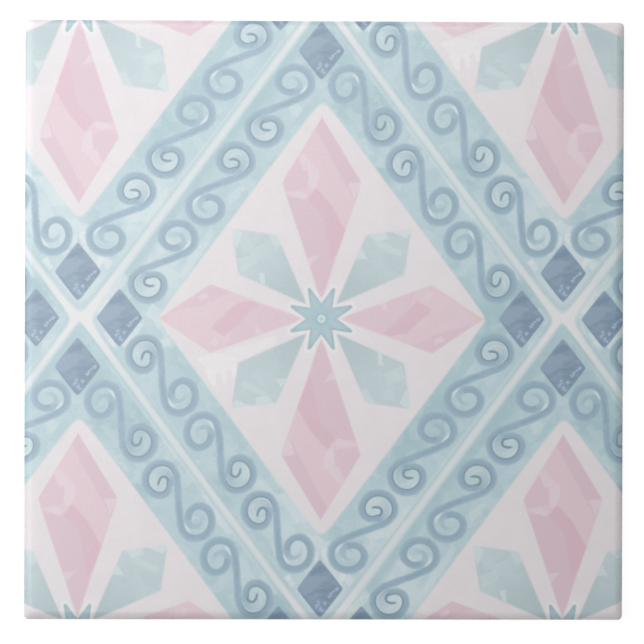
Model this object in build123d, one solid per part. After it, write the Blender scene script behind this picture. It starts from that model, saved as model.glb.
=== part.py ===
from build123d import *
from math import cos, radians, sin, tan
import os

# Overall sizes, in mm
FACE_SIDE = 108.0
THICKNESS = 5.0
CORNER_RADIUS = 0.8

# Cushion edge round the glazed face, in mm and degrees
CUSHION_WIDTH = 1.6
CUSHION_SLOPE = 30.0
ARRIS_RADIUS = 0.4
ARC_STEPS = 4

# Sides and back arris, in mm and degrees
SIDE_DRAFT = 3.0
BACK_ARRIS_WIDTH = 0.5
BACK_ARRIS_HEIGHT = 0.4

# Keyed back, in mm and degrees
KEY_COUNT = 6
RIB_WIDTH = 2.6
KEY_DEPTH = 0.7
KEY_DRAFT = 35.0
KEY_CORNER_RADIUS = 1.5
PLAIN_RIM = 6.6


def outline(inset, height):
    """The rounded square at a given inset from the tile's widest outline."""
    side = FACE_SIDE - 2 * inset
    return Plane.XY.offset(height) * RectangleRounded(side, side, CORNER_RADIUS)


def edge_arc(radius, steep, shallow, inset, height):
    """(inset, height) along a rounded edge, easing from a steep slope to a shallow one."""
    slopes = [radians(steep + (shallow - steep) * step / ARC_STEPS) for step in range(ARC_STEPS + 1)]
    start = slopes[0]
    return [
        (inset + radius * (sin(start) - sin(slope)), height + radius * (cos(slope) - cos(start)))
        for slope in slopes
    ]


def edge_arcs():
    """The small arris above the upright side, then the wide cushion up to the flat face."""
    cushion_radius = CUSHION_WIDTH / sin(radians(CUSHION_SLOPE))
    cushion_drop = cushion_radius * (1 - cos(radians(CUSHION_SLOPE)))
    arris_drop = ARRIS_RADIUS * cos(radians(CUSHION_SLOPE))
    side_top = THICKNESS - cushion_drop - arris_drop
    arris = edge_arc(ARRIS_RADIUS, 90.0, CUSHION_SLOPE, 0.0, side_top)
    cushion = edge_arc(cushion_radius, CUSHION_SLOPE, 0.0, *arris[-1])
    return arris, cushion


def rounded_band(arc):
    """One rounded band of the edge, solid right across the tile."""
    return loft([outline(inset, height) for inset, height in arc])


def side_lean(side_top):
    """How far the drafted side leans in by the top of the back arris."""
    return (side_top - BACK_ARRIS_HEIGHT) * tan(radians(SIDE_DRAFT))


def drafted_body(side_top):
    """The block below the arris, drafted towards the back and bevelled at the back arris."""
    lean = side_lean(side_top)
    sections = [
        outline(lean + BACK_ARRIS_WIDTH, 0.0),
        outline(lean, BACK_ARRIS_HEIGHT),
        outline(0.0, side_top),
    ]
    return loft(sections, ruled=True)


def key_pockets(side_top):
    """Drafted pockets inside the plain rim, in an even grid so that ribs cross in the middle."""
    back_side = FACE_SIDE - 2 * (side_lean(side_top) + BACK_ARRIS_WIDTH)
    keyed_side = back_side - 2 * PLAIN_RIM
    pitch = (keyed_side + RIB_WIDTH) / KEY_COUNT
    mouth = pitch - RIB_WIDTH
    pocket = extrude(RectangleRounded(mouth, mouth, KEY_CORNER_RADIUS), KEY_DEPTH, taper=KEY_DRAFT)
    return [place * pocket for place in GridLocations(pitch, pitch, KEY_COUNT, KEY_COUNT)]


def tile():
    """The whole tile, its back on the floor plane and its glazed face up."""
    arris, cushion = edge_arcs()
    side_top = arris[0][1]
    return drafted_body(side_top) + rounded_band(arris) + rounded_band(cushion) - key_pockets(side_top)


os.makedirs("parts", exist_ok=True)
export_step(tile(), "parts/tile.step")
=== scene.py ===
from math import atan2, cos, hypot, pi, radians, sin, tan

import bmesh
import bpy
from bpy.props import FloatProperty, FloatVectorProperty, IntProperty, PointerProperty
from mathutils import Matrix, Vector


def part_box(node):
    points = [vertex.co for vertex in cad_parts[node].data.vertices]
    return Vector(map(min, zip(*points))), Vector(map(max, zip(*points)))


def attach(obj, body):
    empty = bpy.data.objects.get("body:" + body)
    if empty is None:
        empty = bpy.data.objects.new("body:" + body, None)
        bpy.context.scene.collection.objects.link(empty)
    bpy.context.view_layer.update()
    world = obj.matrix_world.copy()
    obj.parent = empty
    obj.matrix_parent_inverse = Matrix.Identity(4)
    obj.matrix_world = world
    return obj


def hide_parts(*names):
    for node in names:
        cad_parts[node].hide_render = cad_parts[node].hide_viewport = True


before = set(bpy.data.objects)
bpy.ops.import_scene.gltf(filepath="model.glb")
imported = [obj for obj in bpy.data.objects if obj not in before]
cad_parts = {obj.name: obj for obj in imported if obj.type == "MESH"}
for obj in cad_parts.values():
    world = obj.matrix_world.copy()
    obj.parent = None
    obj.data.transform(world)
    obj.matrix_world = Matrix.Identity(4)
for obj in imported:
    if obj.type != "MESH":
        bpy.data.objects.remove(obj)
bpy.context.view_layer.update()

bl_info = {
    "name": "Printed Wall Tile",
    "version": (1, 0, 0),
    "blender": (4, 5, 0),
    "location": "View3D > Sidebar > Tile",
    "description": "Models a glazed wall tile with a printed trellis, and the stage it is shown on",
    "category": "Object",
}

MM = 0.001

# Steps of the face's grid and of the rounded edges.
FACE_CELLS = 86
CUSHION_STEPS = 8
ARRIS_STEPS = 5
CORNER_STEPS = 6
KEY_CORNER_STEPS = 4

# A pocket's corners are bevelled by this share of their radius.
KEY_CORNER_CUT = 0.6

# Rings on the sides: from the edge they guard, then the glaze's foot and the bare clay below its stop.
GUARD_RING = 0.5 * MM
GLAZE_STEP = 0.1 * MM
BARE_RING = 0.8 * MM

# What counts as the same place, and the sharpest fold that is shaded smooth.
NEAR = 0.01 * MM
SMOOTH_ANGLE = radians(32.0)

# Surfaces. The print ends between two depths below the face. Noise is in waves per metre.
GLAZE_IOR = 1.65
GLAZE_ROUGHNESS = (0.26, 0.3)
GLAZE_RIPPLE = 260.0
PRINT_END = (1.6 * MM, 0.9 * MM)
BISQUE_ROUGHNESS = 0.85
BISQUE_GRAIN = 1400.0
BISQUE_CLOUDS = 60.0
STAIN_TONE = 0.88
GRAIN_STRENGTH = 0.35
GRAIN_HEIGHT = 0.05 * MM
FLOOR_ROUGHNESS = 0.9
WHITE = (1.0, 1.0, 1.0, 1.0)

# The print is drawn in millimetres from the middle of one trellis cell, +X right and +Y up.
# Polygons run anticlockwise and are convex. Facets are (colour, strength, corners).
# The outlines of petals and leaves lie in one quarter and are mirrored into the others. The short petal's
# is drawn upright and laid level.
LONG_PETAL = ((0.0, 3.05), (7.2, 24.55), (0.0, 36.4))
SHORT_PETAL = ((0.0, 3.05), (6.2, 20.0), (0.0, 29.3))
LEAF = ((2.6, 2.55), (15.0, 8.0), (16.2, 16.25), (8.05, 15.15), (2.6, 2.55))
LONG_PETAL_FACETS = (
    ("petal_mauve", 1.0, ((-1.2, 34.2), (2.0, 28.4), (5.9, 21.2), (7.6, 24.6), (0.0, 37.2))),
    ("petal_mauve", 0.6, ((-4.3, 29.0), (-7.4, 24.6), (-6.2, 23.0), (-2.4, 23.8), (-2.3, 26.6))),
    ("petal_deep", 1.0, ((-2.6, 21.8), (1.9, 9.8), (4.4, 16.0), (1.8, 20.4), (-1.1, 23.7))),
    ("petal_mauve", 1.0, ((-7.4, 22.2), (0.0, 2.0), (1.9, 9.7), (0.2, 18.6), (-2.6, 21.6))),
    ("petal_pale", 0.9, ((-4.3, 29.2), (-3.3, 26.7), (-0.9, 27.1), (-3.4, 30.0))),
    ("petal_pale", 1.0, ((-2.5, 26.7), (-2.3, 23.2), (-1.2, 23.6), (-0.5, 25.0), (-0.6, 27.3))),
    ("petal_pale", 0.9, ((-6.4, 22.8), (-3.2, 21.6), (-2.5, 22.4), (-3.8, 23.2))),
    ("petal_pale", 0.7, ((-2.7, 11.0), (-2.0, 9.4), (-0.4, 11.6))),
    ("petal_pale", 0.9, ((4.8, 24.5), (5.8, 21.5), (7.6, 24.7))),
)
SHORT_PETAL_FACETS = (
    ("petal_mauve", 0.7, ((-28.4, 0.7), (-22.5, 2.1), (-16.0, 4.8), (-20.0, 6.8))),
    ("petal_deep", 0.9, ((-20.0, -1.7), (-17.4, -3.2), (-11.2, 2.7), (-12.4, 3.1), (-15.4, 2.6))),
    ("petal_mauve", 0.5, ((-17.2, -5.6), (-3.0, -0.4), (-10.9, 2.6), (-15.6, -0.2))),
    ("petal_pale", 0.9, ((-22.3, 4.0), (-21.7, 3.2), (-20.4, 3.7), (-20.6, 4.7))),
    ("petal_pale", 0.9, ((-12.0, -1.1), (-11.7, -3.1), (-10.3, -2.6))),
    ("petal_pale", 0.9, ((-20.0, -4.6), (-18.8, -5.1), (-18.4, -3.6), (-19.5, -3.1))),
)
LEAF_FACETS = (
    ("leaf_pale", 0.9, ((8.6, 15.2), (9.6, 13.8), (12.0, 14.4), (11.6, 15.6))),
    ("leaf_pale", 1.0, ((12.6, 15.7), (15.4, 14.7), (16.8, 16.4), (15.4, 17.0))),
    ("leaf_pale", 0.9, ((6.0, 10.8), (8.3, 10.9), (7.2, 12.6))),
    ("leaf_pale", 0.5, ((9.6, 13.4), (14.2, 11.0), (14.6, 12.2), (10.8, 14.0))),
    ("leaf_pale", 1.0, ((-16.6, 16.8), (-15.4, 12.6), (-14.2, 15.4))),
    ("leaf_pale", 0.9, ((-11.4, 8.3), (-11.0, 6.4), (-10.2, 6.0), (-10.3, 8.2))),
    ("leaf_pale", 0.6, ((-9.8, 15.2), (-8.2, 12.6), (-7.0, 13.4), (-8.6, 15.6))),
    ("leaf_pale", 0.5, ((-15.2, 10.6), (-14.4, 8.4), (-11.4, 10.0), (-12.4, 11.8))),
)

# The white splash in the lower left of the pale field.
GROUND_SPLASH = (
    ("halo", 0.5, ((-19.0, -6.4), (-15.2, -8.0), (-8.0, -4.4), (-8.4, -3.0))),
    ("halo", 0.7, ((-22.6, -7.2), (-19.6, -10.2), (-15.4, -9.0), (-15.0, -7.2), (-19.0, -6.2))),
    ("halo", 0.9, ((-21.0, -9.2), (-19.6, -12.3), (-19.0, -12.1), (-19.0, -9.4))),
    ("halo", 0.9, ((-18.3, -9.2), (-17.5, -11.9), (-16.9, -11.7), (-17.2, -9.0))),
    ("halo", 0.9, ((-16.5, -8.4), (-15.9, -10.6), (-15.3, -10.4), (-15.1, -8.2))),
)

# Pools of thick and thin aqua in the bands: (x, y, radius).
DEEP_POOLS = (
    (8.0, 40.5, 9.0), (11.5, 36.0, 6.0), (1.0, 48.5, 7.0), (31.0, 0.5, 6.5),
    (36.5, 5.5, 5.0), (21.0, -17.0, 6.0), (15.5, -23.0, 5.0), (-19.0, -32.0, 5.0),
    (-39.0, 8.5, 4.0), (11.0, 25.5, 3.5), (-24.0, 27.0, 4.0), (-12.0, 41.0, 5.0),
)
PALE_POOLS = (
    (-39.5, 0.0, 7.0), (-29.0, 9.0, 8.0), (-31.0, 15.5, 6.0), (-9.0, -29.0, 6.5), (-4.0, -38.5, 8.0),
    (0.0, -51.0, 9.0), (13.5, -36.0, 8.0), (18.0, 34.0, 4.0), (27.0, 22.5, 4.0), (39.5, -5.0, 4.0),
)

# Brushed patches of the bands: (colour, strength, corners), the corners as the way along the band and the
# inset from the trellis line. Each side's patches are set apart along the band by its offset, and all
# strengths share one factor.
PATCH_STRENGTH = 0.75
BAND_SIDES = {"lower_left": 0.0, "lower_right": 80.0, "upper_left": 160.0, "upper_right": 240.0}
BAND_PATCHES = {
    "upper_right": (
        ("gleam", 0.8, ((-11.6, 1.1), (-3.0, 0.9), (-2.6, 1.6), (-7.0, 1.9), (-11.2, 2.0))),
        ("gleam", 0.6, ((-25.0, 1.2), (-20.4, 0.9), (-20.8, 1.9), (-24.6, 2.3))),
        ("gleam", 0.4, ((-21.4, 3.0), (-17.0, 2.1), (-14.6, 2.6), (-16.0, 4.0), (-20.6, 5.2))),
        ("gleam", 0.4, ((8.4, 8.8), (11.4, 8.6), (11.8, 10.0), (8.8, 10.2))),
        ("band_deep", 0.8, (
            (16.8, 9.0), (18.2, 7.0), (20.6, 7.4), (21.2, 9.2), (20.4, 10.2), (17.4, 10.0),
        )),
        ("band_deep", 0.5, ((4.0, 1.5), (8.6, 1.4), (8.2, 2.6), (4.4, 2.4))),
        ("band_deep", 1.2, ((-31.6, 1.0), (-27.0, 0.9), (-26.6, 2.6), (-31.2, 2.8))),
        ("band_deep", 0.4, ((15.4, 2.0), (24.0, 1.8), (23.4, 3.0), (16.0, 3.1))),
        ("band_deep", 0.5, ((-22.6, 8.8), (-16.0, 8.5), (-15.6, 10.1), (-22.2, 10.2))),
    ),
    "upper_left": (
        ("band_deep", 0.7, ((1.0, 1.1), (25.4, 0.9), (26.0, 2.4), (12.0, 2.6), (1.6, 2.2))),
        ("band_deep", 0.5, ((-17.6, 1.1), (-10.0, 1.0), (-9.4, 2.1), (-17.0, 2.4))),
        ("gleam", 1.1, ((-33.0, 0.6), (-24.0, 0.8), (-24.6, 2.2), (-33.0, 2.8))),
        ("gleam", 0.4, ((-20.6, 3.2), (-16.8, 2.0), (-14.4, 4.0), (-14.8, 6.0), (-17.4, 4.8))),
        ("gleam", 0.6, ((-19.0, 8.9), (-8.2, 8.5), (-8.6, 9.9), (-18.6, 10.4))),
        ("gleam", 0.5, ((-3.2, 7.6), (0.4, 8.2), (1.2, 9.4), (-2.8, 9.3))),
        ("gleam", 0.8, ((-28.0, 8.6), (-25.8, 8.4), (-25.4, 11.2), (-28.2, 11.4))),
        ("gleam", 0.5, ((16.2, 8.2), (17.4, 7.0), (19.0, 7.4), (18.8, 9.0), (17.0, 9.2))),
        ("band_deep", 0.5, ((15.4, 9.4), (21.8, 9.1), (22.2, 10.4), (15.8, 10.6))),
    ),
    "lower_left": (
        ("band_deep", 0.5, ((13.4, 2.0), (17.6, 1.4), (19.2, 2.4), (16.4, 3.6))),
        ("gleam", 1.2, ((23.6, 1.6), (31.0, 1.5), (31.0, 2.4), (25.6, 2.6), (25.0, 5.2), (23.8, 4.6))),
        ("gleam", 0.8, ((-24.2, 9.2), (-22.8, 8.9), (-22.4, 10.2), (-23.6, 11.2))),
        ("gleam", 0.8, ((-28.2, 10.2), (-24.0, 10.0), (-24.2, 11.4), (-28.0, 11.5))),
        ("gleam", 0.6, ((11.0, 9.8), (17.0, 9.3), (23.2, 9.6), (23.0, 11.3), (11.4, 11.2))),
        ("gleam", 1.2, ((-31.5, 1.5), (-28.0, 1.5), (-27.8, 2.4), (-31.5, 2.6))),
        ("gleam", 0.9, ((-28.2, 3.2), (-26.9, 3.2), (-28.0, 8.0), (-29.4, 8.0))),
        ("gleam", 0.9, ((22.6, 8.4), (24.0, 5.2), (25.0, 5.2), (24.8, 8.6), (23.4, 9.6))),
        ("band_deep", 0.5, ((-22.0, 9.3), (-15.0, 9.0), (10.4, 9.2), (10.8, 10.6), (-21.6, 10.8))),
        ("band_deep", 0.4, ((-22.0, 7.8), (-19.4, 7.4), (-18.0, 9.8), (-21.6, 10.4))),
    ),
    "lower_right": (
        ("band_deep", 0.8, (
            (-29.6, 8.6), (-20.0, 8.0), (-8.0, 8.2), (0.6, 8.8), (0.2, 10.4), (-29.0, 10.5),
        )),
        ("band_deep", 0.5, ((0.6, 8.9), (6.8, 8.6), (7.2, 10.2), (0.4, 10.4))),
        ("gleam", 0.4, ((6.0, 1.1), (25.0, 0.9), (24.4, 2.3), (6.6, 2.1))),
        ("gleam", 0.6, ((13.6, 2.6), (18.8, 2.2), (18.4, 4.2), (15.6, 5.0))),
        ("gleam", 0.9, ((23.6, 1.6), (31.0, 1.5), (31.0, 2.8), (25.2, 3.2), (24.6, 5.4), (23.8, 4.4))),
        ("gleam", 1.3, ((22.4, 8.8), (24.2, 3.2), (26.6, 3.2), (25.2, 8.0), (23.0, 9.8))),
        ("gleam", 0.7, ((21.2, 9.4), (24.2, 8.8), (24.6, 10.6), (21.6, 11.0))),
        ("band_deep", 0.6, ((17.8, 8.8), (20.6, 8.3), (21.0, 10.2), (18.2, 10.4))),
    ),
}

# Facets and flecks of a lozenge from its own middle; flecks are (x, y, radius).
LOZENGE_FACETS = (
    ("lozenge_pale", 0.9, ((-4.2, 0.2), (-2.6, -1.2), (-0.6, 0.2), (1.6, 2.2), (-2.0, 2.4))),
    ("lozenge_deep", 1.0, ((-1.9, 2.4), (0.4, 3.0), (1.2, 3.7), (0.2, 4.1), (-1.0, 3.6))),
    ("lozenge_deep", 0.7, ((0.2, -2.0), (1.4, -3.2), (2.6, -1.6), (2.4, 0.4), (0.9, 0.2))),
)
LOZENGE_FLECKS = (
    (3.1, -0.1, 0.5), (2.5, -0.55, 0.42), (2.05, -0.85, 0.4), (1.7, -1.35, 0.45), (-0.3, -2.35, 0.42),
    (0.9, -2.65, 0.45), (-0.55, -3.1, 0.4), (0.1, -3.65, 0.42), (0.45, -4.0, 0.36), (-0.15, -2.9, 0.3),
)

# The scroll's volutes: (turns from where the stem joins, distance of the ribbon's inner edge from the eye).
CRISP_VOLUTE = (
    (0.0, 2.0), (0.1, 2.2), (0.18, 2.58), (0.3, 2.7), (0.43, 2.58), (0.6, 2.25), (0.7, 2.0),
    (0.76, 1.74), (0.85, 1.12), (0.93, 0.74), (1.05, 0.7), (1.18, 0.6), (1.35, 0.37), (1.45, 0.33),
    (1.52, 0.42), (1.65, 0.85),
)
FAINT_VOLUTE = (
    (0.0, 1.95), (0.1, 2.3), (0.18, 2.68), (0.27, 2.77), (0.43, 2.52), (0.52, 2.33), (0.6, 2.2),
    (0.68, 1.94), (0.76, 1.4), (0.85, 0.92), (0.93, 0.68), (1.0, 0.62), (1.1, 0.7), (1.2, 0.88),
    (1.35, 0.95), (1.65, 0.95),
)

# The volute's eye from the scroll's middle, the direction of the stem's joint from it, and its last turn.
VOLUTE_EYE = (4.5, 0.3)
VOLUTE_JOIN = radians(-125.0)
VOLUTE_END = 1.66

# The stem's slope, its length from the scroll's middle, and how far each end bows.
STEM_ANGLE = radians(-32.0)
STEM_LENGTH = 3.6
STEM_BOW = {"crisp": 0.05, "faint": -0.14}

# How far a cell's corners are eased off where the trellis lines cross.
CROSSING = {"left": 1.45, "right": 0.85, "top": 0.5, "bottom": 1.25}

# Half the width of each shape's soft edge, and how far the corners of outlines are rounded.
SOFT_EDGE = {
    "petal": 0.22, "leaf": 0.25, "star": 0.2, "stem": 0.22, "line": 0.18, "lozenge": 0.18, "field": 0.25,
}
ROUNDING = {"long_petal": 0.7, "short_petal": 0.3, "leaf": 0.6, "star": 0.32}


def length(name, description, millimetres):
    """A length property."""
    return FloatProperty(name=name, description=description, default=millimetres * MM, unit="LENGTH")


def lengths(name, description, *millimetres):
    """A property of two or three lengths."""
    default = tuple(size * MM for size in millimetres)
    return FloatVectorProperty(
        name=name, description=description, size=len(default), default=default, unit="LENGTH"
    )


def angle(name, description, degrees):
    """An angle property."""
    return FloatProperty(name=name, description=description, default=radians(degrees), unit="ROTATION")


def amount(name, description, value):
    """A property that is a plain number."""
    return FloatProperty(name=name, description=description, default=value)


def ink(name, description, red, green, blue):
    """A colour property in linear red, green and blue."""
    return FloatVectorProperty(
        name=name, description=description, subtype="COLOR", size=4, min=0.0, max=1.0,
        default=(red, green, blue, 1.0),
    )


class TileShape(bpy.types.PropertyGroup):
    """Sizes of the fired tile."""

    corner_radius: length("Corner Radius", "Radius of the upright corners", 0.8)
    cushion_width: length("Cushion Width", "Width of the sloping cushion edge", 1.6)
    cushion_slope: angle("Cushion Slope", "Steepest slope of the cushion", 30.0)
    arris_radius: length("Arris Radius", "Radius between cushion and side", 0.4)
    side_draft: angle("Side Draft", "Lean of the sides towards the back", 3.0)
    back_arris_width: length("Back Arris Width", "Width of the bevel round the back", 0.5)
    back_arris_height: length("Back Arris Height", "Height of that bevel", 0.4)
    glaze_stop: length("Glaze Stop", "Height on the sides where the glaze ends", 2.3)
    glaze_thickness: length("Glaze Thickness", "How far the glaze stands proud", 0.12)
    glaze_wander: length("Glaze Wander", "How far the glaze's lower edge wanders", 0.7)
    wander_size: length("Wander Size", "Size of the clouds that the lower edge follows", 9.0)
    glaze_flow: length("Glaze Flow", "Depth of the slow waves in the glazed face", 0.04)
    flow_size: length("Flow Size", "Size of the clouds that the waves follow", 26.0)
    key_count: IntProperty(name="Key Count", description="Pockets along each side of the back", default=6)
    rib_width: length("Rib Width", "Width of the ribs between pockets", 2.6)
    key_depth: length("Key Depth", "Depth of the pockets", 0.7)
    key_draft: angle("Key Draft", "Slope of the pocket walls", 35.0)
    key_corner: length("Key Corner", "Corner radius of the pockets", 1.5)
    plain_rim: length("Plain Rim", "Flat rim round the pockets", 6.6)


class PrintLayout(bpy.types.PropertyGroup):
    """Sizes and place of the printed pattern. Pairs are across and up."""

    shift: lengths("Shift", "Middle of the print from the tile's middle", -0.627, 0.031)
    scale: amount("Scale", "Size of the print against its drawing", 0.9982)
    repeat: lengths("Repeat", "Half the width and height of one trellis cell", 43.79, 57.11)
    line_slope: angle("Line Slope", "Slope of the trellis lines", 53.4)
    line_width: length("Line Width", "Width of the white trellis lines", 0.7)
    line_lean: length("Line Lean", "How far the rising lines lie towards the lower right", 0.2)
    line_scale: amount("Line Scale", "Spacing of the trellis lines against the repeat", 0.9948)
    line_shift: lengths("Line Shift", "Middle of the lines from the middle of the print", -0.044, 0.183)
    field: lengths("Field", "Half the width and height of the pale field in a cell", 29.87, 40.03)
    field_shift: length("Field Shift", "Middle of that field right of the rosette's middle", 0.16)
    lozenge: lengths("Lozenge", "Half the width and height of a dark lozenge", 4.18, 5.42)
    lozenge_place: lengths("Lozenge Place", "Lozenges from the cell's middle", 36.3, 48.55)
    lozenge_shift: lengths("Lozenge Shift", "How far all lozenges are moved", -0.05, 0.05)
    rosette_shift: lengths("Rosette Shift", "Middle of the rosette from the cell's middle", 0.05, 0.25)
    star_radius: length("Star Radius", "Reach of the star's points", 6.0)
    star_notch: length("Star Notch", "Radius of the notches between the points", 2.8)
    scroll_pitch: length("Scroll Pitch", "Spacing of the scrolls along a band", 17.55)
    scroll_start: length("Scroll Start", "Middle scroll from the middle of its band", -1.2)
    scroll_inset: length("Scroll Inset", "Scroll line from the trellis line", 5.5)
    scroll_stroke: length("Scroll Stroke", "Width of the scrolls' stroke", 1.3)


class PrintColours(bpy.types.PropertyGroup):
    """Colours of the glaze, the print and the body."""

    ground: ink("Ground", "White of the glaze", 0.889, 0.844, 0.869)
    blush: ink("Blush", "Faint warm stain in the ground", 0.867, 0.816, 0.839)
    line: ink("Line", "Trellis lines", 0.79, 0.838, 0.864)
    line_edge: ink("Line Edge", "Cool white beside the lines", 0.735, 0.82, 0.85)
    crossing: ink("Crossing", "Warm white where the lines cross", 0.885, 0.868, 0.885)
    outline: ink("Outline", "Thin shade beside the lines", 0.53, 0.65, 0.695)
    band: ink("Band", "Aqua of the scroll bands", 0.565, 0.727, 0.773)
    band_deep: ink("Band Deep", "Pooled aqua", 0.455, 0.64, 0.688)
    band_pale: ink("Band Pale", "Thin aqua", 0.70, 0.82, 0.86)
    scroll: ink("Scroll", "Blue of the scrolls", 0.415, 0.565, 0.674)
    scroll_deep: ink("Scroll Deep", "Darker blue along the inner edges", 0.265, 0.39, 0.475)
    gleam: ink("Gleam", "White left bare in the bands", 0.80, 0.875, 0.895)
    lozenge: ink("Lozenge", "Slate blue of the lozenges", 0.294, 0.403, 0.52)
    lozenge_deep: ink("Lozenge Deep", "Dark facet of the lozenges", 0.245, 0.348, 0.462)
    lozenge_pale: ink("Lozenge Pale", "Sheen of the lozenges", 0.345, 0.455, 0.576)
    fleck: ink("Fleck", "Flecks in the lozenges", 0.47, 0.60, 0.73)
    petal: ink("Petal", "Pink of the petals", 0.855, 0.668, 0.735)
    petal_deep: ink("Petal Deep", "Rose facets", 0.80, 0.575, 0.655)
    petal_mauve: ink("Petal Mauve", "Cooler pink facets", 0.80, 0.618, 0.70)
    petal_pale: ink("Petal Pale", "Pale facets", 0.868, 0.735, 0.795)
    petal_warm: ink("Petal Warm", "Salmon tips", 0.86, 0.65, 0.68)
    leaf: ink("Leaf", "Aqua of the leaves", 0.602, 0.71, 0.744)
    leaf_deep: ink("Leaf Deep", "Aqua towards the star", 0.535, 0.65, 0.685)
    leaf_pale: ink("Leaf Pale", "Pale facets of the leaves", 0.72, 0.825, 0.845)
    halo: ink("Halo", "White round the star and of the splash", 0.935, 0.928, 0.938)
    star: ink("Star", "Teal of the star", 0.479, 0.653, 0.705)
    star_deep: ink("Star Deep", "Rim and tips of the star", 0.365, 0.535, 0.58)
    star_pale: ink("Star Pale", "Vein of the star's points", 0.545, 0.672, 0.738)
    star_eye: ink("Star Eye", "Disc in the star's middle", 0.68, 0.835, 0.87)
    bisque: ink("Bisque", "Fired clay of the sides and back", 0.72, 0.68, 0.61)
    floor: ink("Floor", "What the floor reflects besides its glow", 0.16, 0.16, 0.16)


class StageSettings(bpy.types.PropertyGroup):
    """Camera, light and floor."""

    camera_place: lengths("Camera Place", "Where the camera stands", -7.414, 0.809, 440.02)
    camera_turn: FloatVectorProperty(
        name="Camera Turn", description="The camera's turn from straight down", size=3,
        default=(radians(-0.148), radians(-0.916), radians(0.193)), subtype="EULER",
    )
    camera_lens: amount("Camera Lens", "Focal length in mm", 135.0)
    key_place: lengths("Key Light Place", "Where the soft light stands", -218.0, 157.0, 398.0)
    key_size: length("Key Light Size", "Side of the soft light", 613.0)
    key_power: amount("Key Light Power", "Power of the soft light in watts", 3.0)
    room_light: amount("Room Light", "Strength of the even light all round", 0.08)
    floor_glow: amount("Floor Glow", "Light of the white floor itself", 0.92)
    floor_size: length("Floor Size", "Side of the floor", 6000.0)
    floor_offset: length("Floor Offset", "How far the floor's diagonal is kept from under the tile", 1000.0)
    floor_gap: length("Floor Gap", "Hair's breadth between floor and back", 0.05)


def arithmetic(operation):
    """A method that adds one Math node to the sheet of its value."""

    def method(value, *others):
        return value.sheet.math(operation, value, *others)

    return method


class Value:
    """A number that changes over the surface. Arithmetic on it adds Math nodes."""

    def __init__(self, sheet, socket):
        self.sheet = sheet
        self.socket = socket

    __add__ = arithmetic("ADD")
    __sub__ = arithmetic("SUBTRACT")
    __mul__ = arithmetic("MULTIPLY")
    __rmul__ = __mul__
    __truediv__ = arithmetic("DIVIDE")
    __abs__ = arithmetic("ABSOLUTE")
    root = arithmetic("SQRT")
    sign = arithmetic("SIGN")
    rounded = arithmetic("ROUND")
    fraction = arithmetic("FRACT")
    sine = arithmetic("SINE")
    cosine = arithmetic("COSINE")
    bearing = arithmetic("ARCTAN2")
    to_and_fro = arithmetic("PINGPONG")
    above = arithmetic("GREATER_THAN")
    lesser = arithmetic("MINIMUM")
    greater = arithmetic("MAXIMUM")
    softer_greater = arithmetic("SMOOTH_MAX")

    def __rsub__(self, other):
        return self.sheet.math("SUBTRACT", other, self)

    def __neg__(self):
        return self * -1.0

    def ease(self, low, high, low_value=0.0, high_value=1.0):
        """Goes smoothly from one value to another while this number goes from low to high."""
        fed = (self, low, high, low_value, high_value)
        node = self.sheet.node("ShaderNodeMapRange", *fed, interpolation_type="SMOOTHSTEP")
        return Value(self.sheet, node.outputs[0])

    def inside(self, softness):
        """Mask of where this distance is negative, with a soft edge."""
        return self.ease(softness, -softness)


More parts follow.
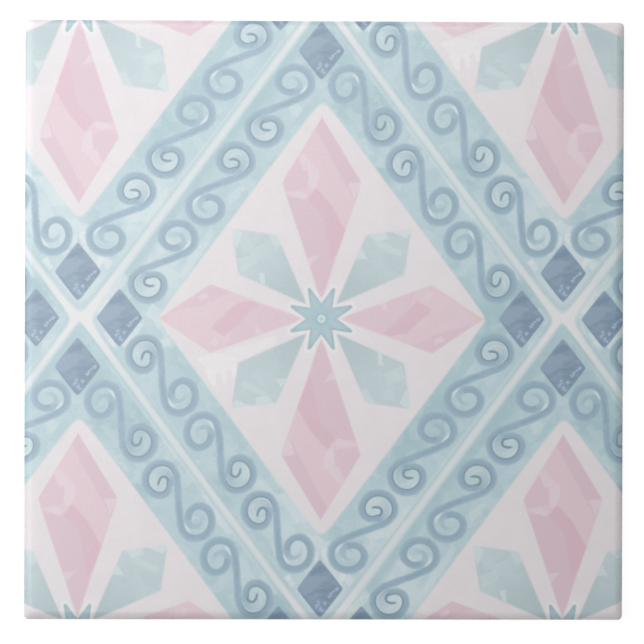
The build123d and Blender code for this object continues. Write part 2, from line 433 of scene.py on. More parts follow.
class Sheet:
    """A shader tree being filled with nodes, laid out left to right."""

    ROWS = 14
    COLUMN_WIDTH = 190
    ROW_HEIGHT = 190

    def __init__(self, tree):
        self.tree = tree
        self.count = 0

    def node(self, kind, *values, **settings):
        """A new node with its settings made and its first inputs fed."""
        node = self.tree.nodes.new(kind)
        column, row = divmod(self.count, self.ROWS)
        node.location = (column * self.COLUMN_WIDTH, -row * self.ROW_HEIGHT)
        self.count += 1
        for name, setting in settings.items():
            setattr(node, name, setting)
        for socket, value in zip(node.inputs, values):
            self.feed(socket, value)
        return node

    def feed(self, socket, value):
        """Link a value or socket to an input, or set the input to a constant."""
        if isinstance(value, Value):
            value = value.socket
        if isinstance(value, bpy.types.NodeSocket):
            self.tree.links.new(value, socket)
        else:
            socket.default_value = value

    def math(self, operation, *values):
        node = self.node("ShaderNodeMath", *values, operation=operation)
        return Value(self, node.outputs[0])

    def vector(self, operation, *values):
        node = self.node("ShaderNodeVectorMath", *values, operation=operation)
        return node.outputs["Vector"]

    def measure(self, operation, *values):
        """Vector arithmetic that gives a number."""
        node = self.node("ShaderNodeVectorMath", *values, operation=operation)
        return Value(self, node.outputs["Value"])

    def parts(self, vector):
        node = self.node("ShaderNodeSeparateXYZ", vector)
        return [Value(self, socket) for socket in node.outputs]

    def point(self, x, y, z=0.0):
        return self.node("ShaderNodeCombineXYZ", x, y, z).outputs[0]

    def along(self, point, x, y, start=0.0):
        """Distance of a point along the direction (x, y). A raised point's distance begins at the start."""
        return self.measure("DOT_PRODUCT", point, (x, y, -start))

    def raised(self, point):
        """The point at height 1, as polygons and facets are measured from."""
        return self.vector("ADD", point, (0.0, 0.0, 1.0))

    def mix(self, mask, first, second):
        """The first colour, and the second where the mask is full."""
        node = self.node("ShaderNodeMix", mask, data_type="RGBA")
        self.feed(node.inputs[6], first)
        self.feed(node.inputs[7], second)
        return node.outputs[2]

    def noise(self, point, scale, detail=2.0, roughness=0.5):
        """Noise as a number, and as a colour of three such numbers."""
        node = self.node("ShaderNodeTexNoise")
        fed = {"Vector": point, "Scale": scale, "Detail": detail, "Roughness": roughness}
        for name, value in fed.items():
            self.feed(node.inputs[name], value)
        return Value(self, node.outputs[0]), node.outputs[1]

    def group(self, tree, **fed):
        """A node group's outputs by name."""
        node = self.node("ShaderNodeGroup", node_tree=tree)
        for name, value in fed.items():
            self.feed(node.inputs[name], value)
        return {socket.name: Value(self, socket) for socket in node.outputs}

    def polygon(self, raised, corners, softness=0.0):
        """Distance outside a convex chain of corners that runs anticlockwise; negative inside."""
        distance = None
        for (x0, y0), (x1, y1) in zip(corners, corners[1:]):
            span = hypot(x1 - x0, y1 - y0)
            nx, ny = (y1 - y0) / span, (x0 - x1) / span
            edge = self.along(raised, nx, ny, x0 * nx + y0 * ny)
            if distance is None:
                distance = edge
            elif softness:
                distance = distance.softer_greater(edge, softness)
            else:
                distance = distance.greater(edge)
        return distance

    def facets(self, colour, raised, facets, colours, softness=0.15):
        """Paints closed polygons over a colour, one after the other."""
        for name, strength, corners in facets:
            mask = self.polygon(raised, corners + corners[:1]).ease(softness, -softness, 0.0, strength)
            colour = self.mix(mask, colour, getattr(colours, name))
        return colour

    def pools(self, point, pools, core=0.25):
        """Mask of round soft spots, full out to the core's share of each radius."""
        mask = None
        for x, y, radius in pools:
            spot = self.measure("DISTANCE", point, (x, y, 0.0)).ease(radius, radius * core)
            mask = spot if mask is None else mask.greater(spot)
        return mask

    def rhombus(self, point, wide, high, round_side, round_end):
        """Distance outside a rhombus whose corners are eased off; negative inside."""
        x, y, _ = self.parts(point)
        eased_x = (x * x + round_end * round_end).root() / wide
        eased_y = (y * y + round_side * round_side).root() / high
        return (eased_x + eased_y - 1.0) * (wide * high / hypot(wide, high))

    def wobble(self, point, scale, reach):
        """The point moved about a little, so that drawn edges wander as a brush's do."""
        _, drift = self.noise(point, scale)
        centred = self.vector("SUBTRACT", drift, (0.5, 0.5, 0.5))
        push = self.vector("MULTIPLY", centred, (2 * reach, 2 * reach, 0.0))
        return self.vector("ADD", point, push)


NUMBER = "NodeSocketFloat"
VECTOR = "NodeSocketVector"
COLOUR = "NodeSocketColor"


def new_group(name, inputs, outputs):
    """An empty node group with its sockets, its sheet and its two ends."""
    tree = bpy.data.node_groups.new(name, "ShaderNodeTree")
    for in_out, sockets in (("INPUT", inputs), ("OUTPUT", outputs)):
        for label, kind in sockets.items():
            tree.interface.new_socket(label, in_out=in_out, socket_type=kind)
    sheet = Sheet(tree)
    start = sheet.node("NodeGroupInput")
    end = sheet.node("NodeGroupOutput")
    return tree, sheet, start.outputs, end.inputs


def in_mm(sizes):
    """Lengths of a property in millimetres."""
    return [size / MM for size in sizes]


def trellis_repeat_group(layout):
    """Folds the tile's face into one trellis cell, in millimetres from the cell's middle."""
    tree, sheet, given, result = new_group("Trellis Repeat", {"Point": VECTOR}, {"Cell": VECTOR})
    across, up = in_mm(layout.repeat)
    unit = MM * layout.scale
    scaled = sheet.vector("MULTIPLY", given["Point"], (1 / unit, 1 / unit, 0.0))
    placed = sheet.vector("SUBTRACT", scaled, (*in_mm(layout.shift), 0.0))
    rising = sheet.along(placed, 0.5 / across, 0.5 / up)
    falling = sheet.along(placed, 0.5 / across, -0.5 / up)
    cells = sheet.vector("ADD", sheet.point(rising, falling), (0.5, 0.5, 0.0))
    within = sheet.vector("SUBTRACT", sheet.vector("FRACTION", cells), (0.5, 0.5, 0.0))
    cell = sheet.point(sheet.along(within, across, across), sheet.along(within, up, -up))
    sheet.feed(result["Cell"], cell)
    return tree


def wash_group():
    """Watercolour tone: flat patches with wandering edges, and slow shading, each from 0 to 1."""
    inputs = {"Point": VECTOR, "Size": NUMBER, "Seed": NUMBER}
    outputs = {"Patch": NUMBER, "Flow": NUMBER}
    tree, sheet, given, result = new_group("Watercolour Wash", inputs, outputs)
    size = Value(sheet, given["Size"])
    scale = sheet.math("DIVIDE", 1.0, size)
    seeded = sheet.vector("ADD", given["Point"], sheet.point(0.0, 0.0, given["Seed"]))
    slow, wander = sheet.noise(seeded, scale * 0.7, 3.0, 0.6)
    push = sheet.vector("SUBTRACT", wander, (0.5, 0.5, 0.5))
    pushed = sheet.vector("MULTIPLY_ADD", push, sheet.point(size * 2.2, size * 2.2, 0.0), seeded)
    cells = sheet.node("ShaderNodeTexVoronoi", feature="F1")
    sheet.feed(cells.inputs["Vector"], pushed)
    sheet.feed(cells.inputs["Scale"], scale)
    sheet.feed(result["Patch"], sheet.parts(cells.outputs["Color"])[0])
    sheet.feed(result["Flow"], slow.ease(0.3, 0.7))
    return tree


def volute_edge(sheet, turn, crisp):
    """Distance of the ribbon's inner edge from the eye, by turns from where the volute begins."""
    edges = []
    for profile in (FAINT_VOLUTE, CRISP_VOLUTE):
        turns = profile[-1][0]
        widest = max(radius for _, radius in profile)
        node = sheet.node("ShaderNodeFloatCurve")
        curve = node.mapping.curves[0]
        while len(curve.points) < len(profile):
            curve.points.new(0.5, 0.5)
        for point, (place, radius) in zip(curve.points, profile):
            point.location = (place / turns, radius / widest)
        node.mapping.update()
        sheet.feed(node.inputs["Value"], turn / turns)
        edges.append(Value(sheet, node.outputs[0]) * widest)
    faint, clear = edges
    return faint + (clear - faint) * crisp


def scroll_group(layout):
    """One end of a running scroll, from the scroll's middle: half the stem, then a volute."""
    inputs = {"Along": NUMBER, "Across": NUMBER, "Crisp": NUMBER}
    outputs = {"Stroke": NUMBER, "Deep": NUMBER, "Gleam": NUMBER}
    tree, sheet, given, result = new_group("Running Scroll", inputs, outputs)
    along, across, crisp = (Value(sheet, given[name]) for name in inputs)
    faint = 1.0 - crisp
    stroke = layout.scroll_stroke / MM

    # The stem runs through the scroll's middle, slightly bowed, to where the volute begins.
    bow = crisp * STEM_BOW["crisp"] + faint * STEM_BOW["faint"]
    level = across - (1.0 - along * along * 0.1).greater(0.0) * bow
    stem = abs(along * -sin(STEM_ANGLE) + level * cos(STEM_ANGLE))
    beyond = along * cos(STEM_ANGLE) + level * sin(STEM_ANGLE) - STEM_LENGTH
    stem = stem.greater(beyond) - stroke * 0.5

    # The volute is followed by angle round its eye: the outer turn is a ribbon, dark along its inner edge.
    dx = along - VOLUTE_EYE[0]
    dy = across - VOLUTE_EYE[1]
    reach = (dx * dx + dy * dy).root()
    turn = (dy.bearing(dx) / (2 * pi) - VOLUTE_JOIN / (2 * pi)).fraction()
    outer = reach - volute_edge(sheet, turn, crisp)
    width = turn.ease(0.1, 0.72, stroke - crisp * 0.1, stroke * 1.05)
    ring = outer.ease(-0.14, 0.12) * (outer - width).ease(0.3, -0.28)

    # The inner turn: a dark hook with a wash behind it at a crisp end, a fading ribbon at a faint one.
    # A gap opens between it and the outer turn.
    second = turn + 1.0
    inner = reach - volute_edge(sheet, second, crisp)
    gap = (outer - second.ease(1.0, 1.12, 0.4, 0.0)).ease(-0.1, -0.4)
    ending = second.ease(VOLUTE_END, VOLUTE_END - 0.07)
    hook = inner.ease(-0.12, 0.12) * (inner - 0.56).ease(0.18, -0.18) * ending
    wash = inner.ease(0.0, 0.3) * gap * second.ease(1.0, 1.2, 0.95, 0.5) * second.ease(1.55, 1.2)
    ribbon_width = second.ease(1.0, 1.35, stroke, stroke * 0.5)
    ribbon = inner.ease(-0.14, 0.14) * (inner - ribbon_width).ease(0.2, -0.2) * gap
    fading = second.ease(0.95, 1.2, 1.0, 0.62) * second.ease(1.62, 1.3)
    coil = hook.greater(wash) * crisp + ribbon * fading * faint
    sheet.feed(result["Stroke"], stem.inside(SOFT_EDGE["stem"]).greater(ring).greater(coil))

    # Colour gathers along the inner edges, and the glaze shows white between the turns.
    rim = abs(outer - 0.16).ease(0.34, 0.1) * turn.ease(0.02, 0.16) * (crisp * 0.5 + 0.35)
    dark_hook = abs(inner - 0.26).ease(0.42, 0.16) * ending * crisp
    hairs, _ = sheet.noise(sheet.point(turn * 4.0, outer * 4.2, crisp * 9.0), 1.0, 2.0, 0.6)
    body = outer.ease(0.0, 0.3) * outer.ease(1.2, 0.55) * 0.38
    core = stem.ease(-0.15, -0.55) * (faint * 0.2 + 0.25)
    shaded = body.greater(core).greater(hairs.ease(0.45, 0.75) * 0.5)
    sheet.feed(result["Deep"], rim.greater(dark_hook).greater(shaded))
    crescent = outer.ease(-0.62, -0.42) * outer.ease(0.0, -0.16)
    glint = turn.ease(0.03, 0.09) * turn.ease(0.24, 0.14) * crescent * faint * 0.8
    within = outer.ease(0.1, -0.2) * turn.ease(0.12, 0.25) * turn.ease(0.65, 0.4, 0.4, 1.0) * crisp
    streaks = hairs.ease(0.4, 0.58, 0.05, 0.65)
    sheet.feed(result["Gleam"], glint.greater(within * streaks))
    return tree


def along_band(sheet, point, layout):
    """The way along a cell's nearest band from its middle, and the inset from its trellis line."""
    corner = sheet.vector("ABSOLUTE", point)
    middle_x, middle_y = (size / 2 for size in in_mm(layout.repeat))
    slope = layout.line_slope
    run = sheet.along(corner, -cos(slope), sin(slope)) - (middle_y * sin(slope) - middle_x * cos(slope))
    inset = (middle_x * sin(slope) + middle_y * cos(slope)) - sheet.along(corner, sin(slope), cos(slope))
    return run, inset


def band_place_group(layout):
    """Raised place on the four bands laid end to end: the way along them, and the inset."""
    tree, sheet, given, result = new_group("Band Place", {"Point": VECTOR}, {"Place": VECTOR})
    x, y, _ = sheet.parts(given["Point"])
    right = x.above(0.0)
    upper = y.above(0.0)
    run, inset = along_band(sheet, given["Point"], layout)
    offset = right * BAND_SIDES["lower_right"] + upper * BAND_SIDES["upper_left"]
    sheet.feed(result["Place"], sheet.point(run + offset, inset, 1.0))
    return tree


def scroll_band_group(layout):
    """The three scrolls of each of a cell's four bands."""
    scroll = scroll_group(layout)
    outputs = {"Stroke": NUMBER, "Deep": NUMBER, "Gleam": NUMBER}
    tree, sheet, given, result = new_group("Scroll Band", {"Point": VECTOR}, outputs)
    x, y, _ = sheet.parts(given["Point"])
    hand = (x * y).sign()
    run, inset = along_band(sheet, given["Point"], layout)
    start = layout.scroll_start / MM
    pitch = layout.scroll_pitch / MM
    number = ((run - start) / pitch).rounded().greater(-1.0).lesser(1.0)
    place = run - start - number * pitch
    end = place.sign()
    across = (inset - layout.scroll_inset / MM) * hand * end
    crisp = (end * (1.0 - 2.0 * abs(number))).greater(0.0)
    drawn = sheet.group(scroll, Along=abs(place), Across=across, Crisp=crisp)
    for name in outputs:
        sheet.feed(result[name], drawn[name])
    return tree


def painted_star(sheet, point, layout, colours):
    """The eight-point star: distance outside it, and its colour."""
    # The bearing is folded into half of one point, whose flank is a straight line from the notch to an
    # apex beyond the rounded tip.
    x, y, _ = sheet.parts(point)
    half_step = pi / 8
    reach = (x * x + y * y).root()
    bearing = abs(y.bearing(x).to_and_fro(2 * half_step) - half_step)
    tip = layout.star_radius / MM
    notch = layout.star_notch / MM
    apex = tip * 1.17
    flank = ((apex, 0.0), (notch * cos(half_step), notch * sin(half_step)))
    away = reach * bearing.sine()
    side = sheet.point(reach * bearing.cosine(), away, 1.0)
    star = sheet.polygon(side, flank).softer_greater(reach - tip, ROUNDING["star"])

    vein = away.ease(0.5, 0.1) * reach.ease(1.8, 2.6) * reach.ease(4.4, 3.2)
    teal = sheet.mix(vein, colours.star, colours.star_pale)
    uneven, _ = sheet.noise(point, 0.7, 2.0, 0.6)
    lower_right = (x - y).ease(-5.0, 5.0, 0.55, 1.1)
    rim = star.ease(-0.5, -0.1) * uneven.ease(0.35, 0.6, 0.3, 0.9) * lower_right
    teal = sheet.mix(rim.greater(reach.ease(4.2, 5.6) * 0.7), teal, colours.star_deep)
    ring = reach.ease(0.6, 0.85) * reach.ease(1.5, 1.0)
    teal = sheet.mix(ring * 0.45, teal, colours.star_deep)
    eye = reach.ease(0.85, 0.65) - reach.ease(0.42, 0.15) * 0.75
    return star, sheet.mix(eye, teal, colours.star_eye)


def rosette_group(layout, colours, wash):
    """The pale field with its petals, leaves and star, from the rosette's middle."""
    tree, sheet, given, result = new_group("Rosette", {"Point": VECTOR}, {"Color": COLOUR})
    point = given["Point"]
    x, y, _ = sheet.parts(point)
    folded = sheet.point(abs(x), abs(y), 1.0)
    swapped = sheet.point(abs(y), abs(x), 1.0)

    # Facets are turned half round for the petal or leaf opposite.
    painted_point = sheet.wobble(point, 0.5, 0.35)
    painted = sheet.parts(painted_point)
    half = painted[1].sign()
    turned = sheet.point(painted[0] * half, painted[1] * half, 1.0)
    half = -painted[0].sign()
    turned_level = sheet.point(painted[0] * half, painted[1] * half, 1.0)

    tone = sheet.group(wash, Point=point, Size=2.6, Seed=11.0)
    colour = sheet.mix(tone["Flow"], colours.ground, colours.blush)
    colour = sheet.facets(colour, sheet.raised(painted_point), GROUND_SPLASH, colours)

    pink = sheet.facets(colours.petal, turned, LONG_PETAL_FACETS, colours)
    pink = sheet.mix(abs(y).ease(5.5, 3.5), pink, colours.petal_warm)
    outside = sheet.polygon(folded, LONG_PETAL, ROUNDING["long_petal"])
    colour = sheet.mix(outside.inside(SOFT_EDGE["petal"]), colour, pink)

    pink = sheet.mix(tone["Flow"] * 0.5, colours.petal, colours.petal_pale)
    pink = sheet.facets(pink, turned_level, SHORT_PETAL_FACETS, colours)
    tips = abs(x).ease(5.5, 4.0).greater(abs(x).ease(27.0, 28.6))
    pink = sheet.mix(tips, pink, colours.petal_warm)
    outside = sheet.polygon(swapped, SHORT_PETAL, ROUNDING["short_petal"])
    colour = sheet.mix(outside.inside(SOFT_EDGE["petal"]), colour, pink)

    aqua = sheet.mix(tone["Patch"] * 0.45, colours.leaf, colours.leaf_pale)
    aqua = sheet.mix((abs(x) + abs(y)).ease(25.0, 8.0), aqua, colours.leaf_deep)
    aqua = sheet.facets(aqua, turned, LEAF_FACETS, colours)
    outside = sheet.polygon(folded, LEAF, ROUNDING["leaf"])
    colour = sheet.mix(outside.inside(SOFT_EDGE["leaf"]), colour, aqua)

    star, teal = painted_star(sheet, point, layout, colours)
    colour = sheet.mix(star.ease(0.85, 0.3) * 0.65, colour, colours.halo)
    colour = sheet.mix(star.inside(SOFT_EDGE["star"]), colour, teal)
    sheet.feed(result["Color"], colour)
    return tree


def lozenge_group(layout, colours):
    """The dark lozenges at the four corners of a cell."""
    outputs = {"Mask": NUMBER, "Color": COLOUR}
    tree, sheet, given, result = new_group("Corner Lozenges", {"Cell": VECTOR}, outputs)
    x, y, _ = sheet.parts(given["Cell"])
    place_x, place_y = in_mm(layout.lozenge_place)
    wide, high = in_mm(layout.lozenge)
    shift_x, shift_y = in_mm(layout.lozenge_shift)
    lift = layout.rosette_shift[1] / MM
    upright = abs(y).above(place_y * 0.6)
    from_x = x - x.sign() * place_x * (1.0 - upright) - shift_x
    from_y = y - y.sign() * place_y * upright - (1.0 - upright) * lift - shift_y
    point = sheet.point(from_x, from_y)
    edge = sheet.rhombus(point, wide, high, 0.22, 0.3) - 0.05

    brushed = sheet.wobble(point, 0.9, 0.4)
    streaks, _ = sheet.noise(sheet.vector("MULTIPLY", brushed, (0.6, 1.8, 1.0)), 0.7, 3.0, 0.6)
    colour = sheet.mix(streaks.ease(0.45, 0.65), colours.lozenge, colours.lozenge_deep)
    colour = sheet.mix(streaks.ease(0.45, 0.32) * 0.8, colour, colours.lozenge_pale)
    colour = sheet.facets(colour, sheet.raised(brushed), LOZENGE_FACETS, colours, 0.3)
    lower_right = (from_x - from_y).ease(-3.5, 1.0)
    colour = sheet.mix(edge.ease(-0.45, -0.1) * lower_right * 0.6, colour, colours.lozenge_deep)
    flecks = sheet.pools(sheet.wobble(point, 2.0, 0.4), LOZENGE_FLECKS, 0.4)
    colour = sheet.mix(flecks * 0.8, colour, colours.fleck)
    sheet.feed(result["Mask"], edge.inside(SOFT_EDGE["lozenge"]))
    sheet.feed(result["Color"], colour)
    return tree


def band_wash(sheet, cell, layout, colours, wash):
    """Aqua of the bands, with pools of thick and thin colour and brushed patches."""
    tone = sheet.group(wash, Point=cell, Size=1.8, Seed=5.0)
    drifting = sheet.wobble(cell, 0.3, 2.5)
    aqua = sheet.mix(sheet.pools(drifting, DEEP_POOLS), colours.band, colours.band_deep)
    aqua = sheet.mix(sheet.pools(drifting, PALE_POOLS) * 0.85, aqua, colours.band_pale)
    brushed = sheet.group(band_place_group(layout), Point=sheet.wobble(cell, 0.5, 0.5))["Place"]
    for side, patches in BAND_PATCHES.items():
        for name, strength, corners in patches:
            placed = tuple((run + BAND_SIDES[side], inset) for run, inset in corners)
            patch = (name, strength * PATCH_STRENGTH, placed)
            aqua = sheet.facets(aqua, brushed, (patch,), colours, 0.2)
    aqua = sheet.mix(tone["Patch"].ease(0.6, 0.9) * 0.3, aqua, colours.band_pale)
    return sheet.mix(tone["Patch"].ease(0.4, 0.1) * 0.25, aqua, colours.band_deep)


def printed_face_group(layout, colours):
    """The whole print: trellis, bands with scrolls, lozenges and rosettes."""
    tree, sheet, given, result = new_group("Printed Face", {"Point": VECTOR}, {"Color": COLOUR})
    wash = wash_group()
    repeat = trellis_repeat_group(layout)
    cell = sheet.group(repeat, Point=given["Point"])["Cell"]
    middle = sheet.vector("SUBTRACT", cell, (*in_mm(layout.rosette_shift), 0.0))

    # The trellis lines stand a little closer together than the pattern repeats.
    spread = 1 / layout.line_scale
    shifted = sheet.vector("SUBTRACT", given["Point"], (*layout.line_shift, 0.0))
    line_cell = sheet.group(repeat, Point=sheet.vector("MULTIPLY", shifted, (spread, spread, 1.0)))["Cell"]
    x, y, _ = sheet.parts(line_cell)

    # The trellis line lies a little towards the lower right. The band beside it is dark at the upper left
    # and pale elsewhere, behind a thin shade that is strongest at a cell's lower corner.
    slope = layout.line_slope
    reach_x, reach_y = (size / 2 for size in in_mm(layout.repeat))
    wide = reach_x + reach_y / tan(slope)
    high = reach_y + reach_x * tan(slope)
    right = x.ease(-2.0, 2.0)
    upper = y.ease(-2.0, 2.0)
    round_side = right * (CROSSING["right"] - CROSSING["left"]) + CROSSING["left"]
    round_end = upper * (CROSSING["top"] - CROSSING["bottom"]) + CROSSING["bottom"]
    trellis = sheet.rhombus(line_cell, wide, high, round_side, round_end)
    inset = (right - upper) * (layout.line_lean / MM) - trellis
    upper_left = upper * (1.0 - right)
    run, _ = along_band(sheet, line_cell, layout)
    aqua = band_wash(sheet, cell, layout, colours, wash)
    dark = inset.ease(3.4, 1.6) * upper_left * run.ease(-27.0, -23.0) * 0.7
    aqua = sheet.mix(dark, aqua, colours.band_deep)
    pale = inset.ease(1.7, 1.2) * (right * 0.35 + 0.15) * (1.0 - upper_left)
    aqua = sheet.mix(pale * abs(run).ease(28.0, 24.0, 0.1, 1.0), aqua, colours.band_pale)

    band = sheet.group(scroll_band_group(layout), Point=middle)
    aqua = sheet.mix(band["Gleam"], aqua, colours.gleam)
    mottle, _ = sheet.noise(cell, 0.6, 3.0, 0.6)
    deep = band["Deep"].greater(mottle.ease(0.48, 0.72) * 0.45)
    blue = sheet.mix(deep, colours.scroll, colours.scroll_deep)
    aqua = sheet.mix(band["Stroke"], aqua, blue)

    edge = inset - layout.line_width / MM / 2
    lower = y.ease(-36.0, -50.0)
    shade = abs(edge - 0.5).ease(0.26, 0.08) * 0.45 + abs(edge - 0.85).ease(0.35, 0.12) * lower * 0.3
    shoulder = edge - 0.12 - upper_left * 0.3
    aqua = sheet.mix(shoulder.inside(0.3) * 0.8, aqua, colours.line_edge)
    aqua = sheet.mix(shade * (1.0 - upper_left), aqua, colours.outline)
    from_side = abs(abs(x) - reach_x * 2)
    from_end = abs(abs(y) - reach_y * 2)
    white = sheet.mix(from_side.lesser(from_end).ease(9.0, 2.0), colours.line, colours.crossing)
    colour = sheet.mix(edge.inside(SOFT_EDGE["line"]), aqua, white)

    lozenges = sheet.group(lozenge_group(layout, colours), Cell=cell)
    colour = sheet.mix(lozenges["Mask"], colour, lozenges["Color"])
    rosette = sheet.group(rosette_group(layout, colours, wash), Point=middle)
    wide, high = in_mm(layout.field)
    field_middle = sheet.vector("SUBTRACT", middle, (layout.field_shift / MM, 0.0, 0.0))
    field = sheet.rhombus(field_middle, wide, high, 0.7, 0.9)
    colour = sheet.mix(field.inside(SOFT_EDGE["field"]), colour, rosette["Color"])
    sheet.feed(result["Color"], colour)
    return tree


def new_material(name):
    """A material with one Principled shader, and the sheet to feed it from."""
    material = bpy.data.materials.new(name)
    material.use_nodes = True
    material.node_tree.nodes.clear()
    sheet = Sheet(material.node_tree)
    shader = sheet.node("ShaderNodeBsdfPrincipled")
    sheet.node("ShaderNodeOutputMaterial", shader.outputs[0])
    return material, sheet, shader


def place_on(sheet):
    """The place on the object, in metres."""
    return sheet.node("ShaderNodeTexCoord").outputs["Object"]


def printed_glaze(scene, face_height):
    """Glossy glaze with the print on the face, plain white down the sides."""
    material, sheet, shader = new_material("printed_glaze")
    place = place_on(sheet)
    colours = scene.print_colours
    picture = sheet.group(printed_face_group(scene.print_layout, colours), Point=place)["Color"]
    height = sheet.parts(place)[2]
    on_face = height.ease(*(face_height - depth for depth in PRINT_END))
    sheet.feed(shader.inputs["Base Color"], sheet.mix(on_face, colours.ground, picture))
    ripple, _ = sheet.noise(place, GLAZE_RIPPLE, 3.0, 0.5)
    sheet.feed(shader.inputs["Roughness"], ripple.ease(0.3, 0.7, *GLAZE_ROUGHNESS))
    shader.inputs["IOR"].default_value = GLAZE_IOR
    return material


def bare_bisque(colours):
    """Matt fired clay with fine grain."""
    material, sheet, shader = new_material("bare_bisque")
    place = place_on(sheet)
    grain, _ = sheet.noise(place, BISQUE_GRAIN, 4.0, 0.65)
    stain, _ = sheet.noise(place, BISQUE_CLOUDS, 3.0, 0.55)
    darker = tuple(channel * STAIN_TONE for channel in colours.bisque[:3]) + (1.0,)
    sheet.feed(shader.inputs["Base Color"], sheet.mix(stain.ease(0.3, 0.75), colours.bisque, darker))
    shader.inputs["Roughness"].default_value = BISQUE_ROUGHNESS
    bump = sheet.node("ShaderNodeBump")
    for name, value in (("Strength", GRAIN_STRENGTH), ("Distance", GRAIN_HEIGHT), ("Height", grain)):
        sheet.feed(bump.inputs[name], value)
    sheet.feed(shader.inputs["Normal"], bump.outputs[0])
    return material


def pick(mesh, kind, test):
    """In edit mode, select only the vertices, edges or faces that pass a test."""
    bpy.ops.mesh.select_mode(type=kind)
    bpy.ops.mesh.select_all(action="DESELECT")
    shape = bmesh.from_edit_mesh(mesh)
    items = {"VERT": shape.verts, "EDGE": shape.edges, "FACE": shape.faces}[kind]
    picked = [item for item in items if test(item)]
    for item in picked:
        item.select_set(True)
    bmesh.update_edit_mesh(mesh)
    if not picked:
        raise RuntimeError(f"nothing to select among the {kind.lower()} items of {mesh.name}")


def arc_steps(radius, steep, shallow, steps):
    """(outwards, downwards) moves along a rounded edge, from its shallow top to its steep foot."""
    slopes = [shallow + (steep - shallow) * step / steps for step in range(steps + 1)]
    return [
        (radius * (sin(lower) - sin(upper)), radius * (cos(upper) - cos(lower)))
        for upper, lower in zip(slopes, slopes[1:])
    ]


def ring_profile(shape, half, top):
    """(half side, height) of the rings from the flat face, over the edge and down to the back."""
    steep = shape.cushion_slope
    cushion = arc_steps(shape.cushion_width / sin(steep), steep, 0.0, CUSHION_STEPS)
    arris = arc_steps(shape.arris_radius, pi / 2, steep, ARRIS_STEPS)
    side = half - sum(out for out, _ in cushion + arris)
    height = top
    rings = [(side, height)]
    for out, down in cushion + arris:
        side += out
        height -= down
        rings.append((side, height))
    side_top = height

    def on_side(level):
        return half - (side_top - level) * tan(shape.side_draft)

    bare = shape.glaze_thickness
    stop = shape.glaze_stop
    for level in (side_top - GUARD_RING, stop + GUARD_RING, stop):
        rings.append((on_side(level), level))
    for drop in (GLAZE_STEP, BARE_RING):
        rings.append((on_side(stop) - bare, stop - drop))
    foot = on_side(shape.back_arris_height)
    rings.append((foot - bare, shape.back_arris_height))
    rings.append((foot - shape.back_arris_width, 0.0))
    return rings


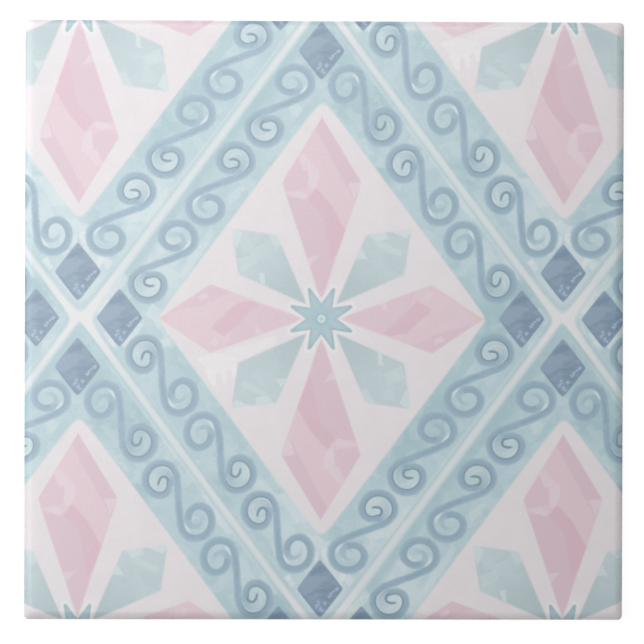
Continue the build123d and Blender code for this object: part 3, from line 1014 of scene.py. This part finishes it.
class TILE_OT_build(bpy.types.Operator):
    """Model the glazed tile with its cushion edge, glaze line and keyed back"""

    bl_idname = "tile.build"
    bl_label = "Build Tile"

    def execute(self, context):
        shape = context.scene.tile_shape
        low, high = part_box("tile")
        half = (high[0] - low[0]) / 2
        top = high[2]
        rings = ring_profile(shape, half, top)
        tile = self.glazed_face(rings[0])
        self.edge_and_sides(tile.data, shape, rings)
        self.keyed_back(tile.data, shape, rings[-1][0])
        bpy.ops.mesh.select_all(action="SELECT")
        bpy.ops.mesh.normals_make_consistent(inside=False)
        self.finish(tile, context.scene, shape, top)
        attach(tile, "root")
        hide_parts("tile")
        return {"FINISHED"}

    def glazed_face(self, ring):
        """The flat face, as a fine grid so that the glaze can wave."""
        half, height = ring
        bpy.ops.object.select_all(action="DESELECT")
        bpy.ops.mesh.primitive_grid_add(
            x_subdivisions=FACE_CELLS, y_subdivisions=FACE_CELLS, size=2 * half, location=(0.0, 0.0, height)
        )
        bpy.ops.object.transform_apply(location=True, rotation=True, scale=True)
        tile = bpy.context.object
        tile.name = tile.data.name = "glazed_tile"
        bpy.ops.object.mode_set(mode="EDIT")
        return tile

    def edge_and_sides(self, mesh, shape, rings):
        """Round the face's corners, then draw its rim out over the cushion and down to the back."""
        pick(mesh, "VERT", lambda vertex: len(vertex.link_faces) == 1)
        bpy.ops.mesh.bevel(
            offset=shape.corner_radius, segments=CORNER_STEPS, affect="VERTICES", clamp_overlap=False
        )
        pick(mesh, "EDGE", lambda edge: edge.is_boundary)
        for (side, height), (next_side, next_height) in zip(rings, rings[1:]):
            bpy.ops.mesh.extrude_region_move(
                TRANSFORM_OT_translate={"value": (0.0, 0.0, next_height - height)}
            )
            bpy.ops.transform.resize(
                value=(next_side / side, next_side / side, 1.0), center_override=(0.0, 0.0, next_height)
            )

    def keyed_back(self, mesh, shape, half):
        """A grid of drafted pockets with rounded corners, inside the plain rim."""
        count = shape.key_count
        pitch = (2 * (half - shape.plain_rim) + shape.rib_width) / count
        bpy.ops.mesh.select_all(action="DESELECT")
        bpy.ops.mesh.select_mode(type="FACE")
        bpy.ops.mesh.primitive_grid_add(
            x_subdivisions=count, y_subdivisions=count, size=count * pitch, rotation=(pi, 0.0, 0.0)
        )
        bpy.ops.mesh.inset(thickness=shape.rib_width / 2, use_individual=True)
        bpy.ops.mesh.inset(
            thickness=shape.key_depth * tan(shape.key_draft), depth=-shape.key_depth, use_individual=True
        )
        inner = half - shape.plain_rim + NEAR

        def pocket_corner(edge):
            heights = sorted(vertex.co.z for vertex in edge.verts)
            within = max(abs(value) for vertex in edge.verts for value in vertex.co.xy) < inner
            return within and abs(heights[0]) < NEAR and abs(heights[1] - shape.key_depth) < NEAR

        pick(mesh, "EDGE", pocket_corner)
        bpy.ops.mesh.bevel(
            offset=shape.key_corner * KEY_CORNER_CUT, segments=KEY_CORNER_STEPS, affect="EDGES"
        )
        pick(mesh, "EDGE", lambda edge: edge.is_boundary)
        bpy.ops.mesh.fill(use_beauty=True)

    def finish(self, tile, scene, shape, top):
        """Glaze above the glaze line, bare clay below it, and the wander of the glaze."""
        tile.data.materials.append(printed_glaze(scene, top))
        tile.data.materials.append(bare_bisque(scene.print_colours))
        pick(tile.data, "FACE", lambda face: face.calc_center_median().z < shape.glaze_stop - NEAR)
        tile.active_material_index = 1
        bpy.ops.object.material_slot_assign()
        bpy.ops.object.mode_set(mode="OBJECT")

        # The glaze's lower edge wanders both ways, and the face only downwards.
        stop = shape.glaze_stop
        lowest = stop - GLAZE_STEP
        self.displace(tile, "glaze_edge", lowest, stop, shape.glaze_wander, 0.5, shape.wander_size)
        self.displace(tile, "face", top, top, shape.glaze_flow, 1.0, shape.flow_size)
        bpy.ops.object.shade_smooth_by_angle(angle=SMOOTH_ANGLE)

    def displace(self, tile, group, low, high, strength, middle, size):
        """Move the vertices between two heights up and down by slow clouds."""
        moved = [
            vertex.index for vertex in tile.data.vertices if low - NEAR < vertex.co.z < high + NEAR
        ]
        tile.vertex_groups.new(name=group).add(moved, 1.0, "ADD")
        clouds = bpy.data.textures.new(group, "CLOUDS")
        clouds.noise_scale = size
        clouds.noise_depth = 1
        waves = tile.modifiers.new(group, "DISPLACE")
        waves.texture = clouds
        waves.texture_coords = "LOCAL"
        waves.direction = "Z"
        waves.vertex_group = group
        waves.strength = strength
        waves.mid_level = middle
        bpy.ops.object.modifier_apply(modifier=group)


class TILE_OT_stage(bpy.types.Operator):
    """Lay a white floor, hang a soft light and set the camera over the tile"""

    bl_idname = "tile.stage"
    bl_label = "Build Stage"

    def execute(self, context):
        scene = context.scene
        stage = scene.tile_stage
        self.floor(stage, scene.print_colours)
        self.key_light(stage)
        self.room(scene, stage)
        self.camera(scene, stage)
        scene.view_settings.view_transform = "Standard"
        return {"FINISHED"}

    def floor(self, stage, colours):
        bpy.ops.object.select_all(action="DESELECT")
        bpy.ops.mesh.primitive_plane_add(
            size=stage.floor_size, location=(stage.floor_offset, 0.0, -stage.floor_gap)
        )
        floor = bpy.context.object
        floor.name = floor.data.name = "white_floor"
        material, sheet, shader = new_material("white_floor")
        shader.inputs["Base Color"].default_value = colours.floor
        shader.inputs["Roughness"].default_value = FLOOR_ROUGHNESS
        shader.inputs["Emission Color"].default_value = WHITE
        shader.inputs["Emission Strength"].default_value = stage.floor_glow
        self.clear_from_below(sheet, shader)
        floor.data.materials.append(material)

    def clear_from_below(self, sheet, shader):
        """Let the eye through the floor's underside, so that the tile's back can be looked at."""
        clear = sheet.node("ShaderNodeBsdfTransparent")
        below = sheet.node("ShaderNodeNewGeometry").outputs["Backfacing"]
        mixed = sheet.node("ShaderNodeMixShader", below, shader.outputs[0], clear.outputs[0])
        output = sheet.tree.get_output_node("ALL")
        sheet.feed(output.inputs["Surface"], mixed.outputs[0])

    def key_light(self, stage):
        bpy.ops.object.light_add(type="AREA", location=stage.key_place)
        light = bpy.context.object
        light.name = "soft_key"
        light.data.size = stage.key_size
        light.data.energy = stage.key_power
        x, y, z = stage.key_place
        light.rotation_euler = (0.0, atan2(hypot(x, y), z), atan2(y, x))

    def room(self, scene, stage):
        world = bpy.data.worlds.new("soft_room")
        world.use_nodes = True
        background = world.node_tree.nodes["Background"]
        background.inputs["Color"].default_value = WHITE
        background.inputs["Strength"].default_value = stage.room_light
        scene.world = world

    def camera(self, scene, stage):
        bpy.ops.object.camera_add(location=stage.camera_place, rotation=stage.camera_turn)
        camera = bpy.context.object
        camera.name = "overhead"
        camera.data.lens = stage.camera_lens
        scene.camera = camera


class TILE_PT_panel(bpy.types.Panel):
    """Build steps of the tile"""

    bl_idname = "TILE_PT_panel"
    bl_label = "Printed Wall Tile"
    bl_space_type = "VIEW_3D"
    bl_region_type = "UI"
    bl_category = "Tile"

    def draw(self, context):
        for operator in (TILE_OT_build, TILE_OT_stage):
            self.layout.operator(operator.bl_idname)


CLASSES = (
    TileShape,
    PrintLayout,
    PrintColours,
    StageSettings,
    TILE_OT_build,
    TILE_OT_stage,
    TILE_PT_panel,
)


def register():
    for kind in CLASSES:
        bpy.utils.register_class(kind)
    bpy.types.Scene.tile_shape = PointerProperty(type=TileShape)
    bpy.types.Scene.print_layout = PointerProperty(type=PrintLayout)
    bpy.types.Scene.print_colours = PointerProperty(type=PrintColours)
    bpy.types.Scene.tile_stage = PointerProperty(type=StageSettings)


def unregister():
    for name in ("tile_stage", "print_colours", "print_layout", "tile_shape"):
        delattr(bpy.types.Scene, name)
    for kind in reversed(CLASSES):
        bpy.utils.unregister_class(kind)


def main():
    register()
    bpy.ops.tile.build()
    bpy.ops.tile.stage()


if __name__ == "__main__":
    main()
